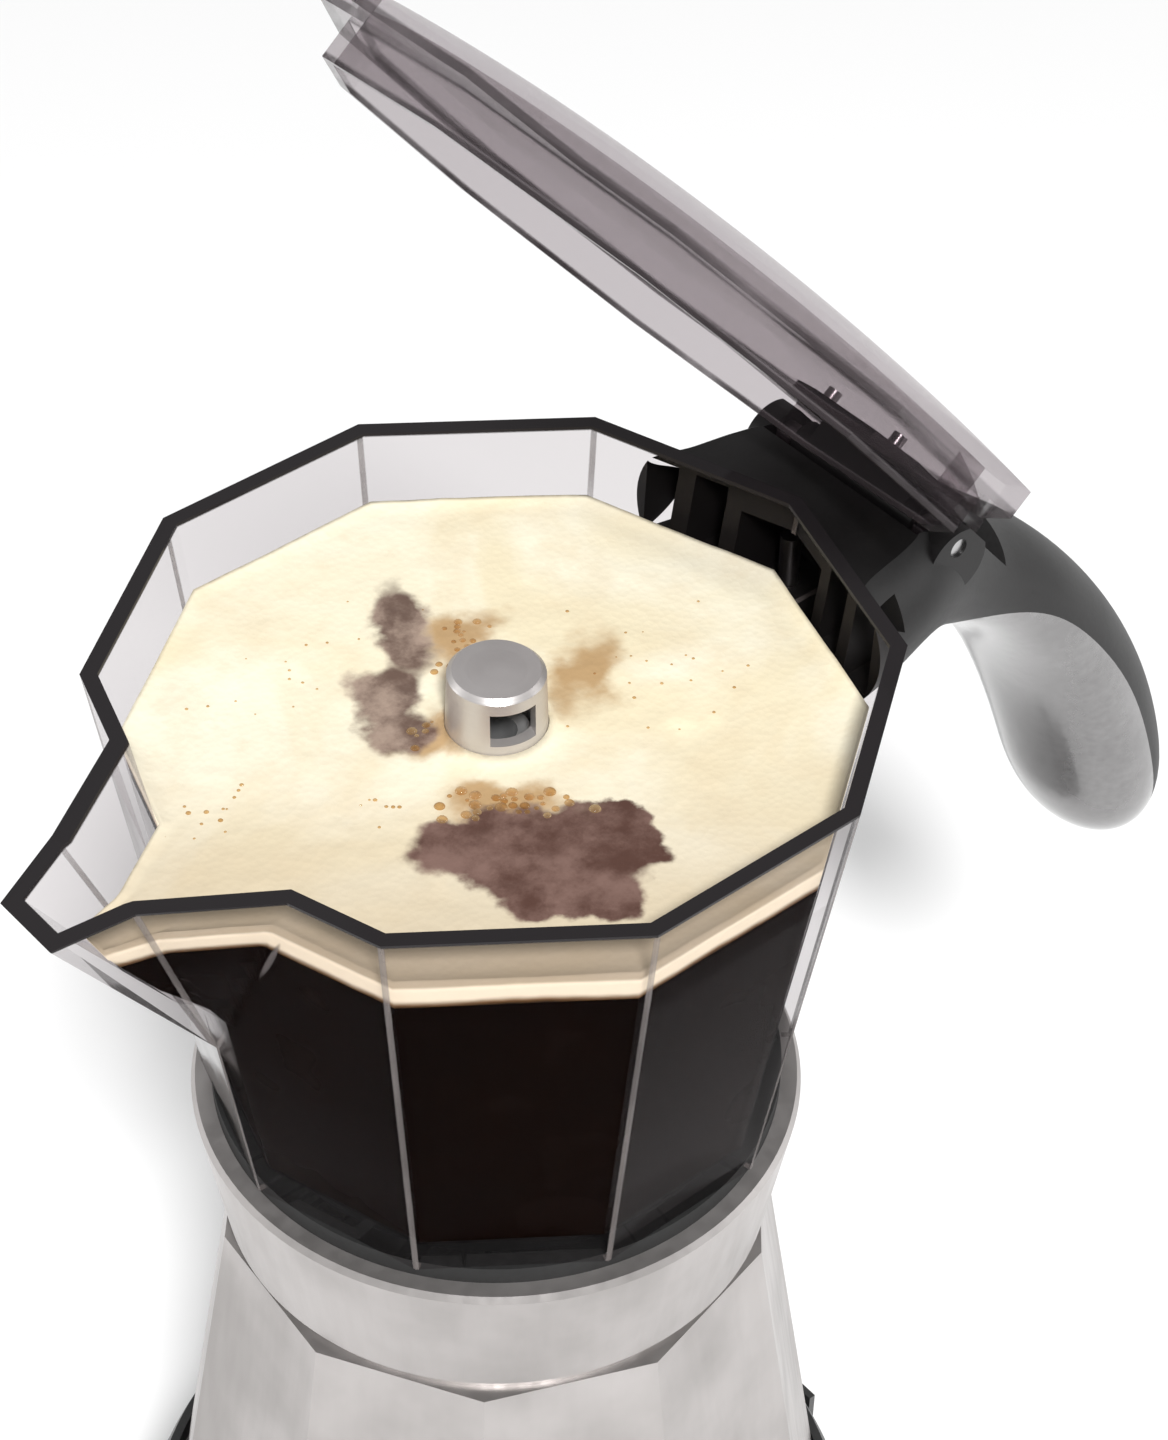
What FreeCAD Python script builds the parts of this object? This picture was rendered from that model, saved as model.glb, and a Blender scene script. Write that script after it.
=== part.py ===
import FreeCAD, Part
import math
import os

# Electric moka pot: power base, heated boiler, brewing parts, clear carafe with its handle, hinged lid.
# Millimetres. +Z is up, the origin is on the floor under the pot's axis, +X points to the handle and
# -X to the spout. The lid is built closed and then turned open about its hinge to its rest place.

V = FreeCAD.Vector
UP = V(0, 0, 1)

# Fits between neighbours
fit_gap = 0.2            # parts that drop into each other
run_gap = 0.06           # shaft in its bore, radial
thread_gap = 0.3         # screwed neck, drawn as plain cylinders
thread_slack = 0.02      # screws and studs in their threaded holes
press_slack = 0.05       # parts pressed into a hole or a groove
move_gap = 0.5           # parts that pass each other

# Overall
sides = 10               # facets of the carafe and of the boiler
rim_z = 254.0            # height of the carafe rim
rim_r = 54.0             # corner radius of the rim

# Power base
foot_h = 2.0
foot_r = 5.5
foot_count = 4
foot_circle_r = 55.0
hub_r = 20.0
base_r = 71.5
base_h = 20.7            # top face of the base above its feet
base_wall = 2.4
base_cover_t = 2.6
base_screw_circle_r = 59.5
base_post_r = 4.0
base_screw_r = 1.5
base_screw_head_r = 3.0
base_screw_head_t = 2.6
base_edge = 3.0          # chamfer round the base's foot
base_cover_edge = 2.0
base_skirt_t = 1.6
base_skirt_h = 3.0
connector_r = 15.5
connector_rise = 8.3     # connector above the base's top face
connector_stem_r = 8.0
connector_flange_w = 3.0
connector_flange_t = 3.0
connector_edge = 2.0
contact_ring_rs = (5.0, 10.5)
contact_ring_w = 2.2
contact_ring_t = 2.2
contact_slot_depth = 3.0
gland_r = 5.0
gland_l = 9.0
gland_bore_r = 3.4
gland_flange_w = 1.6
gland_inside = 5.0       # gland's length inside the wall
terminal_x = (26.0, 44.0)
terminal_half_w = 11.0
terminal_h = 9.0
terminal_screw_r = 2.2
terminal_pitch = 6.5

# Heater housing
pot_gap = 0.3            # pot's underside over the base's top face
housing_r_bottom = 63.5
housing_r_shoulder = 60.6
housing_r_top = 56.4
housing_h = 45.5
housing_shoulder_h = 29.0
housing_wall = 2.6
housing_lip_t = 6.5
housing_screw_circle_r = 52.0
housing_cover_t = 3.0
housing_cover_rim_h = 8.0
housing_post_r = 3.6
housing_screw_r = 1.5
housing_screw_head_r = 2.9
housing_screw_head_t = 1.4
housing_screw_l = 12.0
socket_wall = 2.8
socket_roof = 2.5
switch_w = 17.0
switch_h = 19.0
switch_depth = 7.0
switch_proud = 1.2       # switch frame outside the housing's foot radius
switch_frame_w = 1.6
rocker_dish_r = 22.0
switch_rise = 21.5       # switch centre above the housing's underside
rocker_tilt = 6.0        # degrees either side of level
rocker_margin = 2.6
lamp_r = 2.5
lamp_rise = 34.5
lamp_l = 5.2

# Boiler
boiler_turn = 12.5       # angle of a boiler corner from +X
boiler_floor_z = 46.0
boiler_foot_r = 46.0
boiler_flange_r = 56.0
boiler_flange_t = 4.0
boiler_wall = 3.0
facet_top_drop = 102.5   # facets' top below the rim
facet_top_r = 41.4
facet_bottom_r = 55.8
ledge_r = 38.6
ledge_h = 1.6
neck_r = 34.0
neck_h = 13.5
neck_wall = 3.2
heater_plate_r = 44.0
heater_plate_t = 6.0
element_ring_r = 33.0
element_r = 3.0
element_sweep = 310.0
element_pin_r = 1.6
element_pin_l = 8.0
element_sunk = 0.6       # tube's centre below the plate's face
thermostat_x = -24.0
thermostat_r = 4.6
thermostat_h = 6.0
fuse_x = 25.0
fuse_r = 2.2
fuse_l = 14.0
fuse_lead_r = 0.6
fuse_lead_l = 22.0

# Safety valve, on the facet centred on valve_angle
valve_angle = boiler_turn + 54.0
valve_drop = 29.5        # valve below the facets' top
valve_thread_r = 4.8
valve_hex_af = 12.0
valve_hex_l = 5.5
valve_bore_r = 3.0
valve_boss_h = 1.0
valve_washer_t = 0.8
valve_stem_r = 1.3
valve_travel = 1.2

# Funnel, gasket, filter plate
funnel_flange_t = 1.0
funnel_wall = 0.8
basket_depth = 22.0
funnel_stem_r = 3.8
funnel_stem_bore_r = 2.8
funnel_foot_gap = 4.0    # stem end above the boiler's floor
gasket_t = 3.0
gasket_in_r = 26.0
plate_t = 1.0
hole_r = 0.9

# Collar
collar_gap = 3.1         # collar's foot above the boiler's facets
collar_bottom_r = 40.5
collar_h = 22.7
collar_top_r = 44.0
chamber_r = 24.0
chamber_h = 2.5
collar_dish_r = 34.0
collar_dish_depth = 2.3

# Carafe
seal_t = 2.9
seal_r = 41.0
carafe_bottom_r = 42.4
carafe_wall = 2.2
carafe_floor_t = 3.0
spout_root_y = 18.9
spout_bend_out = 9.2     # beyond the rim's corner radius
spout_bend_y = 8.9
spout_tip_out = 19.4
spout_tip_y = 5.4
spout_tip_drop = 2.7
spout_keel_drop = 41.6   # keel's foot below the rim, on the front corner
tongue_w = 16.0
tongue_out = 8.0
tongue_top_drop = 6.0
tongue_bottom_drop = 19.0

# Column
column_r = 5.2
column_bore_r = 2.8
column_foot_r = 8.5
column_flange_r = 12.0
column_flange_t = 2.0
washer_t = 0.8
cap_r = 6.6
cap_h = 15.0
cap_drop = 1.6           # cap's top below the rim
cap_wall = 1.4
cap_roof = 2.4
cap_window_w = 6.4
cap_window_h = 5.2
cap_window_angle = -108.0

# Handle: sections along its centre line, each
# (distance beyond the rim's corner, height from the rim, half thickness, half width)
handle_sections = [
    (-8.0, -10.0, 16.5, 25.0),
    (5.0, -10.5, 14.8, 22.0),
    (15.5, -14.5, 12.0, 18.5),
    (26.0, -22.0, 9.2, 16.0),
    (37.5, -31.5, 9.0, 15.5),
    (48.0, -43.5, 9.8, 15.5),
    (57.5, -59.0, 10.8, 15.5),
    (65.3, -77.0, 11.2, 15.0),
    (69.6, -91.0, 9.6, 13.2),
    (71.4, -98.0, 6.2, 8.8),
    (72.0, -101.0, 1.8, 2.8),
]
# Seam between the handle's shell and its inner cover, seen from the side, measured the same way
handle_seam = [
    (-11.0, -23.0), (10.0, -23.0), (24.0, -24.5), (37.5, -31.0), (49.0, -42.5),
    (59.5, -58.0), (68.0, -77.5), (72.8, -94.0), (76.0, -112.0),
]
handle_wall = 2.4
handle_hollow_from = 3   # first section of the hollow grip
handle_top_gap = 0.4     # root's flat top below the rim
handle_rib_t = 2.6
handle_rib_depth = 5.0
handle_screw_y = 4.5
handle_screw_out = 3.0
handle_screw_r = 1.5
handle_screw_head_r = 2.8
handle_screw_head_t = 2.0
handle_screw_drop = 20.8 # under the screw's head, below the rim
handle_pocket_h = 13.0
handle_pocket_pitch = 7.6

# Lid, described closed
lid_open = 50.5          # degrees, how far the lid stands open at rest
lid_gap = 0.4            # under the lid's flange
lid_overhang = 0.6
lid_lip_gap = 1.6        # lip inside the carafe's wall
lid_lip_h = 5.0
lid_lip_t = 1.6
lid_wall = 2.2
lid_crown = 8.7          # top of the dome above the rim
lid_edge = 2.6           # dome's height at the beak and the tail
lid_dome_shift = 8.0
lid_dome_long = 34.5     # dome's half axes beyond the rim's corner radius
lid_dome_wide = 23.0
lid_beak_out = 7.5
lid_tail_out = 32.0
lid_tail_w = 18.0
lid_tail_end_w = 11.0
hinge_out = 12.0
hinge_drop = 3.2         # hinge axis below the rim
pin_r = 1.5
pin_half = 19.0
cheek_sunk = 2.6         # centre of the hinge cheeks below the axis
barrel_r = 3.1
barrel_half = 12.0
ear_gap = 0.6
ear_t = 2.4
lever_t = 2.2
lever_w = 12.0
lever_front_in = 2.5     # lever's front edge inside the rim's corner radius
lid_screw_r = 1.1
lid_screw_head_r = 2.1
lid_screw_head_t = 1.0
lid_screw_l = 4.0
lid_screw_inset = 5.0
lid_screw_y = 6.5

# Places worked out from the sizes above
facet_top_z = rim_z - facet_top_drop
neck_top_z = facet_top_z + neck_h
valve_z = facet_top_z - valve_drop
collar_bottom_z = facet_top_z + collar_gap
collar_top_z = collar_bottom_z + collar_h
collar_dish_z = collar_top_z - collar_dish_depth
spout_bend_x = rim_r + spout_bend_out
spout_tip_x = rim_r + spout_tip_out
tongue_x = rim_r + tongue_out
handle_screw_x = rim_r + handle_screw_out
hinge_x = rim_r + hinge_out
lid_dome_x = rim_r + lid_dome_long
lid_dome_y = rim_r + lid_dome_wide
lid_beak_x = rim_r + lid_beak_out
lid_tail_x = rim_r + lid_tail_out
lever_front_x = rim_r - lever_front_in
base_top_z = foot_h + base_h
housing_z = base_top_z + pot_gap
housing_top_z = housing_z + housing_h
housing_neck_z = housing_z + fit_gap + housing_screw_head_t
connector_top_z = base_top_z + connector_rise
base_head_z = foot_h + base_wall - 0.8
switch_face_x = housing_r_bottom + switch_proud
heater_z = boiler_floor_z - heater_plate_t
element_z = heater_z - element_sunk
carafe_z = collar_top_z + seal_t
carafe_floor_z = carafe_z + carafe_floor_t
gasket_z = neck_top_z + funnel_flange_t
plate_z = gasket_z + gasket_t
collar_roof_z = plate_z + plate_t + fit_gap / 2
cap_top_z = rim_z - cap_drop
hinge_z = rim_z - hinge_drop
lid_z = rim_z + lid_gap
half_side = math.pi / sides


def ring_point(radius, angle, z):
    a = math.radians(angle)
    return V(radius * math.cos(a), radius * math.sin(a), z)


def tube(r_out, r_in, z0, z1):
    body = Part.makeCylinder(r_out, z1 - z0, V(0, 0, z0))
    return body.cut(Part.makeCylinder(r_in, z1 - z0, V(0, 0, z0)))


def disc(radius, z0, z1, x=0, y=0):
    return Part.makeCylinder(radius, z1 - z0, V(x, y, z0))


def block(x0, x1, y0, y1, z0, z1):
    return Part.makeBox(x1 - x0, y1 - y0, z1 - z0, V(x0, y0, z0))


def spin(profile):
    """Solid turned about Z from (radius, height) points."""
    wire = Part.makePolygon([V(r, 0, z) for r, z in profile + profile[:1]])
    return Part.Face(wire).revolve(V(0, 0, 0), UP, 360)


def prism_wire(radius, z, first=0.0):
    corners = [ring_point(radius, first + k * 360 / sides, z) for k in range(sides)]
    return Part.makePolygon(corners + corners[:1])


def facet_cone(r0, z0, r1, z1, first=0.0):
    """Straight-sided facetted solid between two heights."""
    return Part.makeLoft([prism_wire(r0, z0, first), prism_wire(r1, z1, first)], True, True)


def outline_prism(points, z0, z1):
    corners = [V(x, y, z0) for x, y in points]
    return Part.Face(Part.makePolygon(corners + corners[:1])).extrude(V(0, 0, z1 - z0))


def around(shape, count, first=0.0):
    """Copies of a shape spread round Z."""
    copies = []
    for k in range(count):
        copy = shape.copy()
        copy.rotate(V(0, 0, 0), UP, first + k * 360 / count)
        copies.append(copy)
    return copies


def turned(shape, angle):
    shape.rotate(V(0, 0, 0), UP, angle)
    return shape


def hole_pattern(rings, z0, z1):
    """Small round holes on rings, each ring being (radius, count)."""
    holes = []
    for radius, count in rings:
        holes += around(disc(hole_r, z0, z1, radius), count, 7.0 * len(holes))
    return Part.makeCompound(holes)


def save(name, shape):
    shape.exportStep("parts/" + name + ".step")


# ---------------------------------------------------------------- power base

def base_feet():
    pad = disc(foot_r, 0, foot_h, foot_circle_r)
    return Part.makeCompound(around(pad, foot_count, 45))


def power_base_shell():
    shell_top = base_top_z - base_cover_t
    outer = spin([(0, foot_h), (base_r - base_edge, foot_h), (base_r, foot_h + base_edge),
                  (base_r, shell_top), (0, shell_top)])
    inner = disc(base_r - base_wall, foot_h + base_wall, shell_top)
    shell = outer.cut(inner).fuse(disc(hub_r, 0, foot_h + base_wall))
    posts = around(disc(base_post_r, foot_h + base_wall, shell_top, base_screw_circle_r), 3, 60)
    holes = around(disc(base_screw_r + fit_gap, 0, shell_top, base_screw_circle_r), 3, 60)
    sink_top = base_head_z + base_screw_head_t + fit_gap
    sinks = around(disc(base_screw_head_r + 2 * fit_gap, 0, sink_top, base_screw_circle_r), 3, 60)
    gland_z = (foot_h + shell_top) / 2
    gland_hole = Part.makeCylinder(gland_r, 20, V(base_r - 12, 0, gland_z), V(1, 0, 0))
    return shell.fuse(posts).cut(holes + sinks + [gland_hole]).removeSplitter()


def power_base_cover():
    z0 = base_top_z - base_cover_t
    cover = spin([(0, z0), (base_r, z0), (base_r, base_top_z - base_cover_edge),
                  (base_r - base_cover_edge, base_top_z), (0, base_top_z)])
    skirt_r = base_r - base_wall - fit_gap
    skirt = tube(skirt_r, skirt_r - base_skirt_t, z0 - base_skirt_h, z0)
    room_half = gland_r + gland_flange_w + move_gap
    gland_room = block(base_r / 2, base_r, -room_half, room_half, z0 - base_skirt_h, z0)
    pilots = around(disc(base_screw_r, z0 - 1, z0 + 0.6 * base_cover_t, base_screw_circle_r), 3, 60)
    cover = cover.fuse(skirt.cut(gland_room))
    return cover.cut([disc(connector_r + fit_gap, z0 - 1, base_top_z + 1)] + pilots).removeSplitter()


def base_screws():
    neck_z = base_head_z + base_screw_head_t
    end_z = base_top_z - 0.45 * base_cover_t
    head = disc(base_screw_head_r, base_head_z, neck_z, base_screw_circle_r)
    shank = disc(base_screw_r - thread_slack, neck_z, end_z, base_screw_circle_r)
    return Part.makeCompound(around(head.fuse(shank), 3, 60))


def base_connector():
    """Round plug in the middle of the base, with a flange that holds it under the cover."""
    z0 = foot_h + base_wall
    flange_top = base_top_z - base_cover_t
    top = connector_top_z
    flange_low = flange_top - connector_flange_t
    flange_r = connector_r + connector_flange_w
    profile = [(0, z0), (connector_stem_r, z0), (connector_stem_r, flange_low), (flange_r, flange_low),
               (flange_r, flange_top), (connector_r, flange_top), (connector_r, top - connector_edge),
               (connector_r - connector_edge, top), (0, top)]
    half = contact_ring_w / 2
    slots = [tube(r + half, r - half, top - contact_slot_depth, top) for r in contact_ring_rs]
    return spin(profile).cut(slots)


def base_contact_rings():
    low = connector_top_z - contact_slot_depth
    half = contact_ring_w / 2 - press_slack
    return Part.makeCompound([tube(r + half, r - half, low, low + contact_ring_t) for r in contact_ring_rs])


def cord_gland():
    """Bushing that the mains lead would leave the base through."""
    z = (foot_h + base_top_z - base_cover_t) / 2
    x0 = base_r - base_wall - gland_inside
    body = Part.makeCylinder(gland_r - press_slack, gland_l, V(x0, 0, z), V(1, 0, 0))
    flange = Part.makeCylinder(gland_r + gland_flange_w, gland_flange_w, V(x0, 0, z), V(1, 0, 0))
    bore = Part.makeCylinder(gland_bore_r, 2 * gland_l, V(x0 - gland_l / 2, 0, z), V(1, 0, 0))
    return body.fuse(flange).cut(bore)


def base_terminal_block():
    z0 = foot_h + base_wall
    x0, x1 = terminal_x
    body = block(x0, x1, -terminal_half_w, terminal_half_w, z0, z0 + terminal_h)
    low = z0 + 0.66 * terminal_h
    places = (-terminal_pitch, 0, terminal_pitch)
    return body.cut([disc(terminal_screw_r, low, z0 + terminal_h + 1, (x0 + x1) / 2, y) for y in places])


# ------------------------------------------------------------ heater housing

def pot_socket():
    """Round socket under the pot that drops over the base's connector."""
    bore_r = connector_r + move_gap
    roof = connector_top_z + move_gap
    body = disc(bore_r + socket_wall, housing_z, roof + socket_roof)
    return body.cut(disc(bore_r, housing_z - 1, roof))


def housing_radius(rise):
    """Outer radius of the housing's straight side at a height above its underside."""
    return housing_r_bottom + (housing_r_shoulder - housing_r_bottom) * rise / housing_shoulder_h


def housing_form(inset, top_z):
    """Housing's outline turned about Z: straight side, then a shoulder that curves in to the boiler."""
    shoulder = V(housing_r_shoulder - inset, 0, housing_z + housing_shoulder_h)
    end = V(housing_r_top - inset, 0, housing_top_z)
    middle = V((2.4 * shoulder.x + end.x) / 3.4, 0, (shoulder.z + end.z) / 2)
    foot = V(housing_r_bottom - inset, 0, housing_z)
    base = V(0, 0, housing_z)
    top = V(0, 0, housing_top_z)
    edges = [Part.makeLine(base, foot), Part.makeLine(foot, shoulder),
             Part.Arc(shoulder, middle, end).toShape(),
             Part.makeLine(end, top), Part.makeLine(top, base)]
    form = Part.Face(Part.Wire(edges)).revolve(V(0, 0, 0), UP, 360)
    return form.common(disc(housing_r_bottom + 5, housing_z, top_z))


def switch_place(half_w, half_h, x0, x1):
    z = housing_z + switch_rise
    return block(x0, x1, -half_w, half_w, z - half_h, z + half_h)


def heater_housing():
    lip_z = housing_top_z - housing_lip_t
    outer = housing_form(0, housing_top_z)
    inner = housing_form(housing_wall, lip_z)
    low, high = lip_z - 1, housing_top_z + 1
    mouth = spin([(0, low), (facet_radius(low) + fit_gap, low),
                  (facet_radius(high) + fit_gap, high), (0, high)])
    x0 = housing_r_shoulder - switch_depth - 5
    reach = 20.0
    hole_half_w = switch_w / 2 - switch_frame_w + fit_gap / 2
    hole_half_h = switch_h / 2 - switch_frame_w + fit_gap / 2
    switch_hole = switch_place(hole_half_w, hole_half_h, x0, x0 + reach)
    lamp_place = V(x0, 0, housing_z + lamp_rise)
    lamp_hole = Part.makeCylinder(lamp_r + press_slack, reach, lamp_place, V(1, 0, 0))
    post_top = lip_z - boiler_flange_t - 2 * move_gap
    post = disc(housing_post_r, housing_z + housing_cover_t, post_top, housing_screw_circle_r)
    hole = disc(housing_screw_r, housing_z, housing_z + housing_screw_l + 2, housing_screw_circle_r)
    shell = outer.cut([inner, mouth]).fuse(around(post, 3, 60))
    return shell.cut([switch_hole, lamp_hole] + around(hole, 3, 60)).removeSplitter()


def housing_bottom_cover():
    outer_r = housing_radius(housing_cover_t) - housing_wall - fit_gap
    socket_r = connector_r + move_gap + socket_wall
    hole = disc(socket_r + fit_gap, housing_z - 1, housing_z + housing_cover_rim_h + 1)
    cover = disc(outer_r, housing_z, housing_z + housing_cover_t)
    rim = tube(socket_r + housing_cover_t, connector_r, housing_z, housing_z + housing_cover_rim_h)
    low, high = housing_z - 1, housing_z + housing_cover_t + 1
    screw_hole = disc(housing_screw_r + fit_gap, low, high, housing_screw_circle_r)
    sink = disc(housing_screw_head_r + 1.5 * fit_gap, low, housing_neck_z, housing_screw_circle_r)
    return cover.fuse(rim).cut([hole] + around(screw_hole, 3, 60) + around(sink, 3, 60))


def housing_screws():
    head = disc(housing_screw_head_r, housing_z + fit_gap, housing_neck_z, housing_screw_circle_r)
    shank_r = housing_screw_r - thread_slack
    shank = disc(shank_r, housing_neck_z, housing_z + housing_screw_l, housing_screw_circle_r)
    return Part.makeCompound(around(head.fuse(shank), 3, 60))


def heater_plate():
    plate = disc(heater_plate_r, heater_z, boiler_floor_z)
    return plate.cut(Part.makeTorus(element_ring_r, element_r + press_slack, V(0, 0, element_z)))


def heating_element():
    """Bent tube pressed into the plate's groove, with two pins hanging from its ends."""
    tube_ring = Part.makeTorus(element_ring_r, element_r, V(0, 0, element_z), UP, -180, 180, element_sweep)
    half_open = (360 - element_sweep) / 2
    tube_ring = turned(tube_ring, 90 + half_open)
    pins = []
    for side in (-1, 1):
        foot = ring_point(element_ring_r, 90 + side * (half_open + 4), element_z - element_pin_l)
        pins.append(Part.makeCylinder(element_pin_r, element_pin_l, foot))
    return tube_ring.fuse(pins)


def thermostat():
    x = thermostat_x
    low = heater_z - thermostat_h
    tabs = [block(x - 2, x + 2, side * 3 - 0.4, side * 3 + 0.4, low - 5, low + 1) for side in (-1, 1)]
    return disc(thermostat_r, low, heater_z, x).fuse(tabs)


def thermal_fuse():
    z = heater_z - fuse_r - fit_gap / 2
    body = Part.makeCylinder(fuse_r, fuse_l, V(fuse_x, -fuse_l / 2, z), V(0, 1, 0))
    leads = Part.makeCylinder(fuse_lead_r, fuse_lead_l, V(fuse_x, -fuse_lead_l / 2, z), V(0, 1, 0))
    return body.fuse(leads)


def switch_bezel():
    x1 = switch_face_x
    frame = switch_place(switch_w / 2, switch_h / 2, housing_r_bottom, x1)
    neck_half_w, neck_half_h = switch_w / 2 - switch_frame_w, switch_h / 2 - switch_frame_w
    neck = switch_place(neck_half_w, neck_half_h, x1 - switch_depth - 5, x1)
    frame = frame.fuse(neck)
    return frame.cut(switch_place(switch_w / 2 - rocker_margin, switch_h / 2 - rocker_margin,
                                  x1 - switch_depth - 3, x1 + 1))


def switch_rocker():
    """Rocker pressed at its top half when off; its axis runs along Y."""
    x1 = switch_face_x
    half_w = switch_w / 2 - rocker_margin - move_gap
    half_h = switch_h / 2 - rocker_margin - move_gap
    z = housing_z + switch_rise
    axis_x = x1 - 3.0
    key = Part.makeCylinder(half_h, 2 * half_w, V(axis_x, -half_w, z), V(0, 1, 0))
    key = key.common(block(axis_x - 2.2, x1 + 1.4, -half_w, half_w, z - half_h, z + half_h))
    dish_place = V(x1 + rocker_dish_r + 0.6, -2 * half_w, z)
    dish = Part.makeCylinder(rocker_dish_r, 4 * half_w, dish_place, V(0, 1, 0))
    key = key.cut(dish)
    key.rotate(V(axis_x, 0, z), V(0, 1, 0), -rocker_tilt)
    return key


def indicator_lens():
    x0 = boiler_flange_r + move_gap
    z = housing_z + lamp_rise
    lens = Part.makeCylinder(lamp_r, lamp_l, V(x0, 0, z), V(1, 0, 0))
    dome = Part.makeSphere(lamp_l, V(x0, 0, z))
    return lens.common(dome)


# -------------------------------------------------------------------- boiler

def facet_radius(z):
    """Corner radius of the boiler's facets at a height."""
    low = housing_top_z - housing_lip_t
    return facet_bottom_r + (facet_top_r - facet_bottom_r) * (z - low) / (facet_top_z - low)


def boiler():
    low = housing_top_z - housing_lip_t
    facets = facet_cone(facet_bottom_r, low, facet_top_r, facet_top_z, boiler_turn)
    flange = disc(boiler_flange_r, low - boiler_flange_t, low)
    foot = disc(boiler_foot_r, boiler_floor_z, low)
    ledge = disc(ledge_r, facet_top_z, facet_top_z + ledge_h)
    neck = disc(neck_r, facet_top_z, neck_top_z)
    body = facets.fuse([flange, foot, ledge, neck])
    neck_in = neck_r - neck_wall
    flat = math.cos(half_side)
    top_in = facet_top_r * flat - boiler_wall
    low_in = boiler_foot_r - boiler_wall
    floor = boiler_floor_z + boiler_wall
    cavity = spin([(0, floor), (low_in - 4, floor), (low_in, floor + 4), (low_in, low),
                   (top_in, facet_top_z - 8), (neck_in, facet_top_z + 1),
                   (neck_in, neck_top_z + 1), (0, neck_top_z + 1)])
    valve_hole = valve_cylinder(valve_thread_r, valve_face() - 14, valve_face() + 4)
    boss = valve_cylinder(valve_hex_af / 2 + 1.2, valve_face() - 2, valve_face() + valve_boss_h)
    return body.fuse(boss).cut([cavity, valve_hole]).removeSplitter()


def valve_face():
    """Distance from the pot's axis to the facet at the valve's height."""
    return facet_radius(valve_z) * math.cos(half_side)


def valve_cylinder(radius, from_r, to_r):
    direction = ring_point(1, valve_angle, 0)
    return Part.makeCylinder(radius, to_r - from_r, ring_point(from_r, valve_angle, valve_z), direction)


def valve_hex(across_flats, from_r, to_r):
    radius = across_flats / 2 / math.cos(math.pi / 6)
    turns = [math.radians(60 * k) for k in range(6)]
    corners = [V(from_r, radius * math.cos(t), valve_z + radius * math.sin(t)) for t in turns]
    hexagon = Part.Face(Part.makePolygon(corners + corners[:1])).extrude(V(to_r - from_r, 0, 0))
    return turned(hexagon, valve_angle)


def safety_valve_body():
    face = valve_face()
    seat = face + valve_boss_h + valve_washer_t
    body = valve_cylinder(valve_thread_r - thread_slack, face - 9, seat)
    body = body.fuse(valve_hex(valve_hex_af, seat, seat + valve_hex_l))
    bore = valve_cylinder(valve_bore_r, face - 7.5, seat + valve_hex_l - 1.2)
    guides = valve_cylinder(valve_stem_r + run_gap, face - 12, seat + valve_hex_l + 2)
    return body.cut([bore, guides])


def valve_washer():
    face = valve_face()
    z0 = face + valve_boss_h
    washer = valve_cylinder(valve_hex_af / 2, z0, z0 + valve_washer_t)
    return washer.cut(valve_cylinder(valve_thread_r, face - 1, face + 2))


def valve_stem():
    """Rod with a head inside the boiler and a collar that the spring pushes on."""
    face = valve_face()
    outside = face + valve_boss_h + valve_washer_t + valve_hex_l
    rod = valve_cylinder(valve_stem_r, face - 10.2, outside + 2.2)
    collar = valve_cylinder(valve_bore_r - 0.4, face - 7.4, face - 6.4)
    return rod.fuse(collar)


def valve_spring():
    face = valve_face()
    wire_r = 0.3
    start = face - 6.4 + valve_travel + 2 * wire_r
    end = face + valve_boss_h + valve_washer_t + valve_hex_l - 1.2 - 2 * wire_r
    length = end - start
    turns = 6
    radius = (valve_stem_r + valve_bore_r) / 2 + 0.05
    helix = Part.makeHelix(length / turns, length, radius)
    section = Part.Wire(Part.makeCircle(wire_r, V(radius, 0, 0), V(0, 1, 0)))
    spring = helix.makePipeShell([section], True, True)
    spring.rotate(V(0, 0, 0), V(0, 1, 0), 90)
    spring.translate(V(start, 0, valve_z))
    return turned(spring, valve_angle)


# ------------------------------------------------------------- brewing parts

def funnel():
    """Coffee basket with a perforated floor and a stem down into the water."""
    z1 = gasket_z
    rim = neck_r - 1.0
    r = neck_r - neck_wall - fit_gap
    w = funnel_wall
    floor = neck_top_z - basket_depth
    stem_end = boiler_floor_z + boiler_wall + funnel_foot_gap
    s = funnel_stem_r
    outer = spin([(0, stem_end), (s, stem_end), (s, floor - 7), (r - 9, floor), (r, floor),
                  (r, neck_top_z), (rim, neck_top_z), (rim, z1), (0, z1)])
    basket = disc(r - w, floor + w, z1 + 1)
    throat = spin([(0, floor - 7 + w), (s - w, floor - 7 + w), (r - 9 - w, floor), (0, floor)])
    bore = disc(funnel_stem_bore_r, stem_end - 1, floor + 1)
    body = outer.cut([basket, throat, bore])
    holes = hole_pattern([(5, 6), (10, 12), (15, 18)], floor - 1, floor + w + 1)
    return body.fuse(tube(r - 9.5, 0.01, floor, floor + w).cut(holes))


def gasket():
    return tube(neck_r - 1.0, gasket_in_r, gasket_z, gasket_z + gasket_t)


def filter_plate():
    plate = disc(neck_r - 2.0, plate_z, plate_z + plate_t)
    return plate.cut(hole_pattern([(5, 6), (10, 12), (15, 18), (20, 24)], plate_z - 1, plate_z + plate_t + 1))


# ----------------------------------------------------------------- carafe

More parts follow.
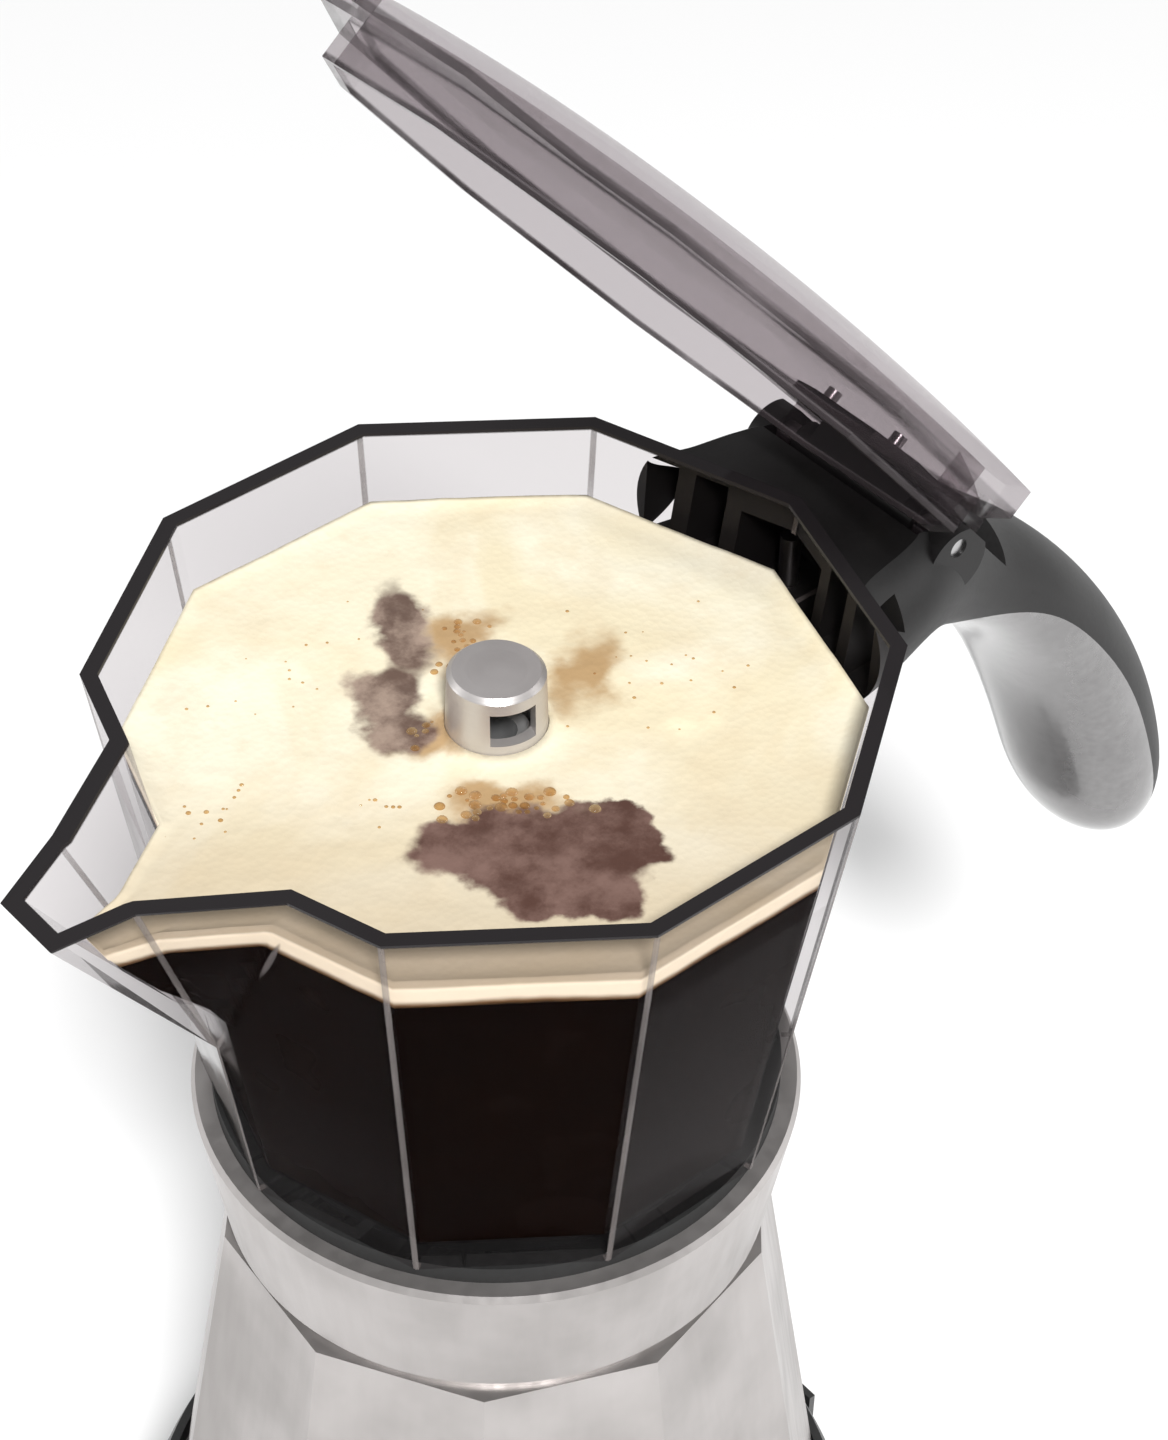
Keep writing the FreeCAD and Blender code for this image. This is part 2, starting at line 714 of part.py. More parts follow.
def collar():
    """Screwed metal foot of the carafe, with the chamber that feeds the column."""
    thread_r = neck_r + thread_gap
    outer = spin([(0, collar_bottom_z), (collar_bottom_r, collar_bottom_z), (collar_top_r, collar_top_z - 1),
                  (collar_top_r - 0.6, collar_top_z), (0, collar_top_z)])
    skirt_bore = disc(thread_r, collar_bottom_z - 1, collar_roof_z)
    chamber = disc(chamber_r, collar_roof_z - 1, collar_roof_z + chamber_h)
    dish = disc(collar_dish_r, collar_dish_z, collar_top_z + 1)
    column_hole = disc(column_foot_r, collar_roof_z, collar_top_z)
    return outer.cut([skirt_bore, chamber, dish, column_hole])


def carafe_seal():
    return tube(seal_r, collar_dish_r + 1.5, collar_top_z, carafe_z)


def carafe_corner(z):
    """Corner radius of the carafe's outside at a height."""
    return carafe_bottom_r + (rim_r - carafe_bottom_r) * (z - carafe_z) / (rim_z - carafe_z)


def half_space(a, b, c, inside, inset):
    """Large block behind the plane through three points, moved towards the inside by inset."""
    normal = (b - a).cross(c - a)
    normal.normalize()
    if normal.dot(inside - a) < 0:
        normal = -normal
    size = 400.0
    box = Part.makeBox(size, size, size, V(-size / 2, -size / 2, 0))
    box.Placement = FreeCAD.Placement(a + normal * inset, FreeCAD.Rotation(UP, normal)) * box.Placement
    return box


def spout_wedge(inset):
    """Folded beak below the rim; with an inset, the channel inside it."""
    keel_z = rim_z - spout_keel_drop
    keel = V(-carafe_corner(keel_z), 0, keel_z)
    inside = V(-rim_r * 0.9, 0, rim_z - 2)
    root_x = rim_r - spout_root_y * math.tan(half_side)
    flanks = []
    for side in (-1, 1):
        root = V(-root_x, side * spout_root_y, rim_z)
        bend = V(-spout_bend_x, side * spout_bend_y, rim_z)
        tip = V(-spout_tip_x, side * spout_tip_y, rim_z - spout_tip_drop)
        rear = half_space(keel, root, bend, inside, inset)
        front = half_space(keel, bend, tip, inside, inset)
        flanks.append(rear.fuse(front))
    tips = [V(-spout_tip_x, side * spout_tip_y, rim_z - spout_tip_drop) for side in (-1, 1)]
    nose = half_space(keel, tips[0], tips[1], inside, inset)
    room_top = rim_z if inset == 0 else rim_z + 10
    room = block(-spout_tip_x - 5, -rim_r * 0.62, -spout_root_y - 4, spout_root_y + 4, keel_z - 2, room_top)
    wedge = room.common(flanks[0]).common(flanks[1]).common(nose)
    if inset == 0:
        bends = [V(-spout_bend_x, side * spout_bend_y, rim_z) for side in (-1, 1)]
        wedge = wedge.common(half_space(bends[0], bends[1], tips[0], inside, 0))
    return wedge


def handle_tongue(clearance):
    """Block on the carafe's rear corner that the handle slides over."""
    half = tongue_w / 2 + clearance
    z0 = rim_z - tongue_bottom_drop - clearance
    z1 = rim_z - tongue_top_drop + clearance
    return block(rim_r * 0.7, tongue_x + clearance, -half, half, z0, z1)


def handle_screw_at(side, radius, z0, z1):
    return disc(radius, z0, z1, handle_screw_x, side * handle_screw_y)


def carafe():
    outer = facet_cone(carafe_bottom_r, carafe_z, rim_r, rim_z)
    inset = carafe_wall / math.cos(half_side)
    rise = 5.0
    inner = facet_cone(carafe_corner(carafe_floor_z) - inset, carafe_floor_z,
                       carafe_corner(rim_z + rise) - inset, rim_z + rise)
    body = outer.fuse([spout_wedge(0), handle_tongue(0)])
    floor_hole = disc(column_foot_r + fit_gap, carafe_z - 1, carafe_floor_z + 1)
    low, high = rim_z - tongue_bottom_drop - 10, rim_z - tongue_top_drop - 4
    pilots = [handle_screw_at(side, handle_screw_r + thread_slack, low, high) for side in (-1, 1)]
    return body.cut([inner, spout_wedge(carafe_wall), floor_hole] + pilots).removeSplitter()


def column():
    """Riser that screws into the collar and clamps the carafe's floor."""
    z0 = collar_roof_z + chamber_h
    seat = carafe_floor_z + washer_t
    z1 = cap_top_z - cap_roof - cap_window_h - 3
    foot = column_foot_r - 0.05
    profile = [(column_bore_r, z0), (foot, z0), (foot, seat), (column_flange_r, seat),
               (column_flange_r, seat + column_flange_t), (column_r + 3, seat + column_flange_t),
               (column_r, seat + 12), (column_r - 0.6, z1), (column_bore_r, z1)]
    return spin(profile)


def column_washer():
    return tube(column_flange_r - 1, column_foot_r, carafe_floor_z, carafe_floor_z + washer_t)


def column_cap():
    """Cap on the riser's top, with two windows that the coffee flows out of."""
    z0 = cap_top_z - cap_h
    edge = 0.7
    body = spin([(0, z0), (cap_r + 0.5, z0), (cap_r, cap_top_z - edge),
                 (cap_r - edge, cap_top_z), (0, cap_top_z)])
    bore = disc(cap_r - cap_wall, z0 - 1, cap_top_z - cap_roof)
    windows = block(-20, 20, -cap_window_w / 2, cap_window_w / 2,
                    cap_top_z - cap_roof - cap_window_h, cap_top_z - cap_roof)
    return body.cut([bore, turned(windows, cap_window_angle)])


# ----------------------------------------------------------------- handle

def handle_loft(sections, inset):
    """Smooth solid through ellipses that stand square to the handle's centre line."""
    wires = []
    last = len(sections) - 1
    for k, (out, drop, thick, wide) in enumerate(sections):
        before = sections[max(k - 1, 0)]
        after = sections[min(k + 1, last)]
        slope = math.atan2(after[1] - before[1], after[0] - before[0])
        along = V(math.cos(slope), 0, math.sin(slope))
        centre = V(rim_r + out, 0, rim_z + drop)
        a, b = thick - inset, wide - inset
        if b >= a:
            ellipse = Part.Ellipse(centre + V(0, b, 0), centre + along.cross(V(0, a, 0)), centre)
        else:
            ellipse = Part.Ellipse(centre + along.cross(V(0, a, 0)), centre + V(0, b, 0), centre)
        wires.append(Part.Wire(ellipse.toShape()))
    return Part.makeLoft(wires, True, False)


def seam_block():
    """Everything on the pot's side of the handle's seam."""
    points = [V(rim_r + out, -60, rim_z + drop) for out, drop in handle_seam]
    curve = Part.BSplineCurve()
    curve.interpolate(points)
    corner = V(points[0].x, -60, points[-1].z)
    edges = [curve.toShape(), Part.makeLine(points[-1], corner), Part.makeLine(corner, points[0])]
    return Part.Face(Part.Wire(edges)).extrude(V(0, 120, 0))


def lid_room():
    """Space in the handle's root for the lid's hinge and, behind it, for the open lid's tail."""
    half = barrel_half + ear_gap + ear_t + move_gap
    reach = math.hypot(barrel_r, lid_z - hinge_z) + 0.2
    slot = block(hinge_x - reach, hinge_x + reach, -half, half, hinge_z, rim_z + 5)
    slot = slot.fuse(Part.makeCylinder(reach, 2 * half, V(hinge_x, -half, hinge_z), V(0, 1, 0)))
    tail = block(hinge_x - 3, lid_tail_x + 1.5, -40, 40, lid_z - move_gap, rim_z + 30)
    tail.rotate(V(hinge_x, 0, hinge_z), V(0, 1, 0), lid_open)
    return [slot, tail]


def handle_outside():
    """Whole handle with its hinge cheeks, fitted round the carafe."""
    grip = handle_loft(handle_sections, 0)
    cheek_r = hinge_drop - handle_top_gap + cheek_sunk
    cheek = Part.makeCylinder(cheek_r, 2 * pin_half, V(hinge_x, -pin_half, hinge_z - cheek_sunk), V(0, 1, 0))
    body = grip.fuse(cheek)
    top = block(0, 200, -60, 60, rim_z - handle_top_gap, rim_z + 60)
    rise = 20.0
    fit = fit_gap / math.cos(half_side)
    low_r, high_r = carafe_corner(carafe_z) + fit, carafe_corner(rim_z + rise) + fit
    inside = facet_cone(low_r, carafe_z, high_r, rim_z + rise)
    return body.cut([top, inside, handle_tongue(fit_gap)] + lid_room())


def root_pockets():
    """Hollows between the ribs on the face that backs onto the carafe."""
    pockets = []
    floor = rim_z - handle_top_gap - handle_rib_t
    pitch = handle_pocket_pitch
    for side in (-1, 1):
        for k in range(2):
            y0 = side * (tongue_w / 2 + handle_rib_t + k * pitch)
            y1 = y0 + side * (pitch - handle_rib_t)
            wall_x = rim_r - abs(y0 + y1) / 2 * math.tan(half_side)
            pockets.append(block(wall_x - 12, wall_x + handle_rib_depth, min(y0, y1), max(y0, y1),
                                 floor - handle_pocket_h, floor))
    return pockets


def handle_screw_sinks():
    """Wells for the screws' heads."""
    high = rim_z - handle_screw_drop
    return [handle_screw_at(side, handle_screw_head_r + fit_gap, high - 10, high) for side in (-1, 1)]


def handle_shell():
    body = handle_outside().cut(seam_block())
    hollow = handle_loft(handle_sections[handle_hollow_from:-1], handle_wall)
    pin_hole = Part.makeCylinder(pin_r, 80, V(hinge_x, -40, hinge_z), V(0, 1, 0))
    low, high = rim_z - handle_screw_drop - 10, rim_z - tongue_bottom_drop + 4
    holes = [handle_screw_at(side, handle_screw_r + fit_gap, low, high) for side in (-1, 1)]
    return body.cut([hollow, pin_hole] + holes + handle_screw_sinks() + root_pockets())


def handle_inner_cover():
    body = handle_outside().common(seam_block())
    hollow = handle_loft(handle_sections[handle_hollow_from:-1], handle_wall)
    return body.cut([hollow] + handle_screw_sinks())


def handle_screws():
    screws = []
    for side in (-1, 1):
        seat = rim_z - handle_screw_drop
        head = handle_screw_at(side, handle_screw_head_r, seat - handle_screw_head_t, seat)
        shank = handle_screw_at(side, handle_screw_r, seat, rim_z - tongue_top_drop - 5)
        screws.append(head.fuse(shank))
    return Part.makeCompound(screws)


def lid_hinge_pin():
    return Part.makeCylinder(pin_r, 2 * pin_half - 1, V(hinge_x, 0.5 - pin_half, hinge_z), V(0, 1, 0))


# -------------------------------------------------------------------- lid

def lid_outline():
    """Seen from above: facets, beak over the spout, and a rounded tail behind the hinge."""
    r = rim_r + lid_overhang
    right = [(r * math.cos(math.radians(a)), r * math.sin(math.radians(a))) for a in (36, 72, 108, 144)]
    root_y = spout_root_y + lid_overhang
    beak = [(-(r - root_y * math.tan(half_side)), root_y),
            (-spout_bend_x + 1, spout_bend_y + 2 * lid_overhang), (-lid_beak_x, spout_tip_y)]
    tail_root_x = r - (lid_tail_w + 3) * math.tan(half_side)
    tail = [(tail_root_x, lid_tail_w + 3), (hinge_x - 6, lid_tail_w), (lid_tail_x - 9, lid_tail_end_w + 2),
            (lid_tail_x - 2, lid_tail_end_w - 4), (lid_tail_x, lid_tail_end_w - 8)]
    half = tail[::-1] + right + beak
    return half + [(x, -y) for x, y in half[::-1]]


def dome(inset):
    """Shallow ellipsoid that tops the lid."""
    far = (lid_beak_x + lid_dome_shift) / lid_dome_x
    height = (lid_crown - lid_edge) / (1 - math.sqrt(1 - far * far))
    matrix = FreeCAD.Matrix()
    matrix.scale(lid_dome_x - inset, lid_dome_y - inset, height - inset)
    ball = Part.makeSphere(1.0).transformGeometry(matrix)
    ball.translate(V(lid_dome_shift, 0, rim_z + lid_crown - height))
    return ball


def opened(shape):
    """Turn a closed lid part to where it stands at rest."""
    shape.rotate(V(hinge_x, 0, hinge_z), V(0, 1, 0), lid_open)
    return shape


def lever_outline(grow):
    end = lid_tail_x - 3
    w = lever_w + grow
    half = [(lever_front_x - grow, 0.5 * w), (lever_front_x + 4, w),
            (end - 7, 0.8 * w), (end + grow, 0.35 * w)]
    return half + [(x, -y) for x, y in half[::-1]]


def hinge_ears():
    """Two clear lugs of the lid, one each side of the lever's barrel."""
    ears = []
    for side in (-1, 1):
        y0 = side * (barrel_half + ear_gap)
        y1 = y0 + side * ear_t
        low, high = min(y0, y1), max(y0, y1)
        eye = Part.makeCylinder(barrel_r, ear_t, V(hinge_x, low, hinge_z), V(0, 1, 0))
        web = block(hinge_x - barrel_r, hinge_x + barrel_r, low, high, hinge_z, lid_z + 1)
        ears.append(eye.fuse(web))
    return ears


def lid_screw_places():
    x = lever_front_x + lid_screw_inset
    return [(x, -lid_screw_y), (x, lid_screw_y)]


def lid():
    flat = math.cos(half_side)
    lip_r = rim_r - (carafe_wall + lid_lip_gap) / flat
    inner_r = lip_r - lid_lip_t / flat
    body = outline_prism(lid_outline(), lid_z, rim_z + 40).common(dome(0))
    lip = facet_cone(lip_r, rim_z - lid_lip_h, lip_r, lid_z + 1)
    void = facet_cone(inner_r, rim_z - lid_lip_h - 1, inner_r, rim_z + 30).common(dome(lid_wall).fuse(
        facet_cone(inner_r, rim_z - lid_lip_h - 1, inner_r, lid_z)))
    ears = hinge_ears()
    lever_pocket = outline_prism(lever_outline(0.1), lid_z - 5, lid_z + lever_t)
    pin_hole = Part.makeCylinder(pin_r + run_gap, 80, V(hinge_x, -40, hinge_z), V(0, 1, 0))
    pilot_r, pilot_end = lid_screw_r + thread_slack, lid_z + lid_screw_l
    pilots = [disc(pilot_r, lid_z, pilot_end, x, y) for x, y in lid_screw_places()]
    shape = body.fuse(lip).cut([void, lever_pocket]).fuse(ears).cut([pin_hole] + pilots)
    return opened(shape.removeSplitter())


def lid_hinge_lever():
    """Dark hinge plate under the lid's tail, with the barrel that turns on the pin."""
    plate = outline_prism(lever_outline(0), lid_z, lid_z + lever_t)
    barrel = Part.makeCylinder(barrel_r, 2 * barrel_half, V(hinge_x, -barrel_half, hinge_z), V(0, 1, 0))
    web_half = 0.8 * lever_w
    web = block(hinge_x - barrel_r, hinge_x + barrel_r, -web_half, web_half, hinge_z, lid_z + 1)
    pin_hole = Part.makeCylinder(pin_r + run_gap, 80, V(hinge_x, -40, hinge_z), V(0, 1, 0))
    neck = lid_z + fit_gap + lid_screw_head_t
    holes = [disc(lid_screw_r + fit_gap / 2, lid_z - 1, lid_z + 5, x, y) for x, y in lid_screw_places()]
    sinks = [disc(lid_screw_head_r + fit_gap, lid_z - 1, neck, x, y) for x, y in lid_screw_places()]
    return opened(plate.fuse([barrel, web]).cut([pin_hole] + holes + sinks))


def lid_screws():
    screws = []
    for x, y in lid_screw_places():
        neck = lid_z + fit_gap + lid_screw_head_t
        head = disc(lid_screw_head_r, lid_z + fit_gap, neck, x, y)
        screws.append(head.fuse(disc(lid_screw_r, neck, lid_z + lid_screw_l, x, y)))
    return opened(Part.makeCompound(screws))


builders = [
    base_feet, power_base_shell, power_base_cover, base_screws, base_connector, base_contact_rings,
    cord_gland, base_terminal_block,
    pot_socket,
    heater_housing, housing_bottom_cover, housing_screws, heater_plate, heating_element, thermostat,
    thermal_fuse, switch_bezel, indicator_lens, switch_rocker,
    boiler, safety_valve_body, valve_washer, valve_stem, valve_spring,
    funnel, gasket, filter_plate,
    collar, carafe_seal, carafe, column, column_washer, column_cap,
    handle_shell, handle_inner_cover, handle_screws, lid_hinge_pin,
    lid, lid_hinge_lever, lid_screws,
]

os.makedirs("parts", exist_ok=True)
for build in builders:
    shape = build()
    print(build.__name__, len(shape.Solids), "solids, valid", shape.isValid(), round(shape.Volume), "mm3")
    save(build.__name__, shape)
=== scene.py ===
import math
import random

import bmesh
import bpy
from mathutils import Matrix, Quaternion, Vector, noise
from mathutils.bvhtree import BVHTree


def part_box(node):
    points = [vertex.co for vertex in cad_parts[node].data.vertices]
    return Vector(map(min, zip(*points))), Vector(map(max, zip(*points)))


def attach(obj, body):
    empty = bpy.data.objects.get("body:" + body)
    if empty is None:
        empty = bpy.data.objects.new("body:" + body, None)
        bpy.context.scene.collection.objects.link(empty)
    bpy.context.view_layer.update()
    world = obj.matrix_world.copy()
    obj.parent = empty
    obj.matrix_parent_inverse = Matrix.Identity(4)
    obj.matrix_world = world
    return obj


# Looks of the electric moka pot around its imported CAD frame. Metres, +Z up, handle at +X, spout at -X.
# The CAD nodes keep their shapes and get procedural materials. The coffee, its crema and the bubbles
# are pieces of their own, fitted to the inside of the CAD carafe.

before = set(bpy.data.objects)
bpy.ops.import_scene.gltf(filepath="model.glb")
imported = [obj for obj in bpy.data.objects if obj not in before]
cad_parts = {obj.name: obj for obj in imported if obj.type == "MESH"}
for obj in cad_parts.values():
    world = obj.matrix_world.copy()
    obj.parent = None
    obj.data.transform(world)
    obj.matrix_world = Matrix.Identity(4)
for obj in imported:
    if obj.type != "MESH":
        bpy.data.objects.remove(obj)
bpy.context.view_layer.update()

MM = 0.001

# Camera
CAMERA_ROLL = math.radians(1.244)
CAMERA_LENS = 90.19
SENSOR = 36.0
CAMERA_AT = Vector((-0.22346, -0.27525, 0.30852))    # from the middle of the rim
CAMERA_AIM = Vector((0.00873, -0.00757, -0.01023))

# Carafe: decagon with a corner on +X
SIDES = 10
RIM_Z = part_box("carafe")[1].z
RIM_CORNER_R = 54.0 * MM
CORNER_LEAN = 11.6 / 73.8                            # how far a corner leans in for each metre down
OUTER_SKIN = 1.2 * MM
RIM_BAND = 0.35 * MM
EDGE_HIGHLIGHT = 0.55 * MM                                # half width of a painted highlight line on an edge
LINE_CORE = 0.6                                      # share of the half width before the line fades

# Spout, outside: corners of the fold on the +Y side, mirrored by |y|
SPOUT_ROOT = Vector((-43.7 * MM, 18.9 * MM, RIM_Z))
SPOUT_BEND = Vector((-63.2 * MM, 8.9 * MM, RIM_Z))
SPOUT_TIP = Vector((-73.4 * MM, 5.4 * MM, RIM_Z - 2.7 * MM))
SPOUT_KEEL = Vector((-47.5 * MM, 0.0, RIM_Z - 41.6 * MM))

# Lid, hinged on an axis along Y, built open
HINGE = Vector((66.0 * MM, 0.0, RIM_Z - 3.2 * MM))
LID_OPEN = math.radians(50.5)
FLANGE_MIDDLE = 0.9 * MM                             # heights from the rim, as the lid lies when shut
LIP_FOOT = -4.5 * MM

# Coffee and crema inside the carafe
WALL_GAP = 0.25 * MM
LEAST_SLANT = 0.12                                   # keeps the gap short where a ray grazes a wall
RING_STEP = 3                                        # degrees between the points of a ring
SPOUT_STEP = 0.5                                     # degrees
SPOUT_STEPS = 56                                     # on each side of the spout's middle
COFFEE_ROWS = 12
FLOOR_Z = RIM_Z - 70.5 * MM
CREMA_TOP = RIM_Z - 11.3 * MM
CREMA_DEPTH = 4.6 * MM
CREMA_FOOT = CREMA_TOP - CREMA_DEPTH
CREMA_ROWS = 64
BAND_STEPS = (0.35, 0.7, 1.0)                        # shares of the depth, down the wall
ROW_CROWDING = 0.85                                  # below 1, rows are closer together at the wall
SWELL_SCALE, SWELL_HEIGHT = 42.0, 0.28 * MM
PIT_SCALE, PIT_HEIGHT = 330.0, 0.09 * MM
CLIMB_WIDTH, CLIMB_HEIGHT = 3.0 * MM, 0.7 * MM       # where the foam climbs the wall
COLUMN_FLANGE = 12.6 * MM                            # radii that clear the column's flange, pipe and cap
COLUMN_CLEAR = 9.2 * MM
CAP_CLEAR = 7.0 * MM
FLANGE_TOP = RIM_Z - 67.7 * MM
COFFEE_BROWN = (0.012, 0.006, 0.004, 1.0)
BACK_WAY = (0.63, 0.777)                             # unit direction from the photograph's front to its back

# Patches on the foam, each made of spots: centre, two half widths (millimetres) and turn (degrees)
FRONT_PATCH = (
    ((-12.0, -21.0), (15.0, 8.0), -40.0),
    ((-1.5, -25.0), (8.5, 5.5), -70.0),
    ((-12.0, -29.5), (10.5, 7.0), -40.0),
)
BACK_PATCH = (
    ((2.0, 22.5), (10.5, 4.4), 62.0),
    ((-7.5, 13.7), (7.5, 4.8), 50.0),
    ((-11.0, 7.5), (5.6, 3.8), 40.0),
)
TAN_PATCH = (
    ((15.5, 0.5), (9.0, 5.0), 35.0),
    ((7.0, 15.5), (7.0, 5.0), 20.0),
    ((-9.0, -12.0), (8.5, 3.6), -40.0),
    ((-9.0, 3.5), (6.0, 4.0), 0.0),
)
SPOT_BLEND = 0.35

# Bubbles: centre x and y, half widths along and across (millimetres), turn (degrees), how many,
# and the smallest and largest radius (millimetres)
BUBBLE_CLUSTERS = (
    (-8.6, -12.2, 8.5, 2.6, -38.0, 70, 0.30, 0.95),
    (-9.0, 5.2, 3.2, 2.4, 20.0, 16, 0.35, 1.15),
    (7.0, 16.2, 5.0, 2.6, 25.0, 26, 0.25, 0.70),
    (-39.5, 9.0, 6.0, 5.0, 0.0, 16, 0.18, 0.42),
    (-22.0, -2.0, 4.0, 3.0, 0.0, 8, 0.18, 0.40),
    (24.0, -6.0, 18.0, 14.0, 0.0, 22, 0.14, 0.30),
    (-14.0, 26.0, 18.0, 9.0, 0.0, 16, 0.14, 0.28),
)
BUBBLE_SPREAD = 0.5                                  # of a cluster's half width, as a deviation
BUBBLE_CROWDING = 0.8                                # of two radii, the least distance between centres
BUBBLE_SINK = 0.25
BUBBLE_FLATTEN = 0.8

# Studio: name, place, size and power of each light
LIGHTS = (
    ("key_light", (-0.99, -1.57, 2.32), 0.42, 98.0),
    ("right_light", (1.15, -0.85, 0.55), 0.6, 4.0),
    ("left_light", (-1.0, 0.9, 0.6), 0.6, 3.0),
)
LIGHT_AIM = (0.0, 0.0, 0.18)
WORLD_STRENGTH = 0.42
FLOOR_HALF = 6.0
FLOOR_CUTS = 8


class Look:
    """A material's node tree, with short calls for the nodes it needs."""

    def __init__(self, name):
        self.material = bpy.data.materials.new(name)
        self.material.use_nodes = True
        self.tree = self.material.node_tree
        self.tree.nodes.clear()
        self.output = self.tree.nodes.new("ShaderNodeOutputMaterial")
        self.place = self.add("ShaderNodeTexCoord").outputs["Object"]

    def add(self, kind, **settings):
        node = self.tree.nodes.new(kind)
        for key, value in settings.items():
            setattr(node, key, value)
        return node

    def feed(self, socket, value):
        if isinstance(value, bpy.types.NodeSocket):
            self.tree.links.new(value, socket)
        elif value is not None:
            socket.default_value = value

    def math(self, operation, a, b=None, c=None, clamp=False):
        node = self.add("ShaderNodeMath", operation=operation, use_clamp=clamp)
        for socket, value in zip(node.inputs, (a, b, c)):
            self.feed(socket, value)
        return node.outputs[0]

    def vector(self, operation, a, b=None, output=0):
        node = self.add("ShaderNodeVectorMath", operation=operation)
        for socket, value in zip(node.inputs, (a, b)):
            self.feed(socket, value)
        return node.outputs[output]

    def parts(self, place=None):
        node = self.add("ShaderNodeSeparateXYZ")
        self.feed(node.inputs[0], place or self.place)
        return node.outputs

    def ramp(self, value, low, high, to_low=0.0, to_high=1.0, smooth=True):
        node = self.add("ShaderNodeMapRange", interpolation_type="SMOOTHSTEP" if smooth else "LINEAR")
        for socket, item in zip(node.inputs, (value, low, high, to_low, to_high)):
            self.feed(socket, item)
        return node.outputs[0]

    def noise(self, scale, detail=3.0, stretch=(1, 1, 1), place=None, rough=0.5, warp=0.0):
        scaled = self.vector("MULTIPLY", place or self.place, stretch)
        node = self.add("ShaderNodeTexNoise")
        self.feed(node.inputs["Vector"], scaled)
        for key, value in (("Scale", scale), ("Detail", detail), ("Roughness", rough), ("Distortion", warp)):
            node.inputs[key].default_value = value
        return node.outputs["Fac"]

    def cells(self, scale):
        node = self.add("ShaderNodeTexVoronoi")
        self.feed(node.inputs["Vector"], self.place)
        node.inputs["Scale"].default_value = scale
        return node.outputs["Distance"]

    def radius(self, x, y):
        """Distance from the pot's axis."""
        return self.math("SQRT", self.math("ADD", self.math("MULTIPLY", x, x), self.math("MULTIPLY", y, y)))

    def blend(self, share, first, second):
        node = self.add("ShaderNodeMix", data_type="RGBA")
        for name, value in (("Factor", share), ("A", first), ("B", second)):
            sockets = [s for s in node.inputs if s.name == name and s.enabled]
            self.feed(sockets[0], value)
        return [s for s in node.outputs if s.enabled][0]

    def bump(self, height, depth):
        node = self.add("ShaderNodeBump")
        self.feed(node.inputs["Height"], height)
        node.inputs["Distance"].default_value = depth
        node.inputs["Strength"].default_value = 1.0
        return node.outputs["Normal"]

    def surface(self, **inputs):
        node = self.add("ShaderNodeBsdfPrincipled")
        for key, value in inputs.items():
            self.feed(node.inputs[key.replace("_", " ")], value)
        return node.outputs[0]

    def mix(self, share, first, second):
        node = self.add("ShaderNodeMixShader")
        self.feed(node.inputs[0], share)
        self.feed(node.inputs[1], first)
        self.feed(node.inputs[2], second)
        return node.outputs[0]

    def done(self, shader):
        self.feed(self.output.inputs["Surface"], shader)
        return self.material


def grey(value):
    return (value, value, value, 1.0)


def rgb(red, green, blue):
    return (red, green, blue, 1.0)


def plain_look(name, dark, light, rough, metal=0.0, grain=900.0, depth=0.02 * MM,
               coat=0.0, coat_rough=0.1, specular=0.5):
    """Solid material: colour and roughness vary in patches, with a fine grain in its surface."""
    look = Look(name)
    patches = look.noise(45.0, 4.0)
    fine = look.noise(grain, 3.0)
    both = look.math("ADD", look.math("MULTIPLY", patches, 0.7), look.math("MULTIPLY", fine, 0.3))
    colour = look.blend(look.ramp(both, 0.3, 0.7), dark, light)
    roughness = look.ramp(both, 0.25, 0.75, rough[0], rough[1])
    return look.done(look.surface(
        Base_Color=colour, Roughness=roughness, Metallic=metal, Normal=look.bump(fine, depth),
        Coat_Weight=coat, Coat_Roughness=coat_rough, Specular_IOR_Level=specular))


def turned_look(name, dark, light, rough, metal):
    """Metal turned on a lathe: fine rings about the pot's axis."""
    look = Look(name)
    x, y, z = look.parts()
    along = look.add("ShaderNodeCombineXYZ")
    look.feed(along.inputs["X"], look.radius(x, y))
    look.feed(along.inputs["Y"], z)
    lines = look.noise(2600.0, 2.0, place=along.outputs[0])
    patches = look.noise(60.0, 3.0)
    colour = look.blend(look.ramp(patches, 0.3, 0.7), dark, light)
    roughness = look.ramp(lines, 0.3, 0.7, rough[0], rough[1])
    return look.done(look.surface(
        Base_Color=colour, Roughness=roughness, Metallic=metal, Normal=look.bump(lines, 0.02 * MM)))


def line_mask(look, start, end, half_width, place):
    """1 within half_width of the line through two points, fading to 0."""
    along = (end - start).normalized()
    offset = look.vector("SUBTRACT", place, tuple(start))
    away = look.vector("LENGTH", look.vector("CROSS_PRODUCT", offset, tuple(along)), output="Value")
    reach = look.vector("DOT_PRODUCT", offset, tuple(along), output="Value")
    length = (end - start).length
    past_start = look.math("GREATER_THAN", reach, 0.0)
    before_end = look.math("LESS_THAN", reach, length)
    inside = look.math("MULTIPLY", past_start, before_end)
    return look.math("MULTIPLY", inside, look.ramp(away, LINE_CORE * half_width, half_width, 1.0, 0.0))


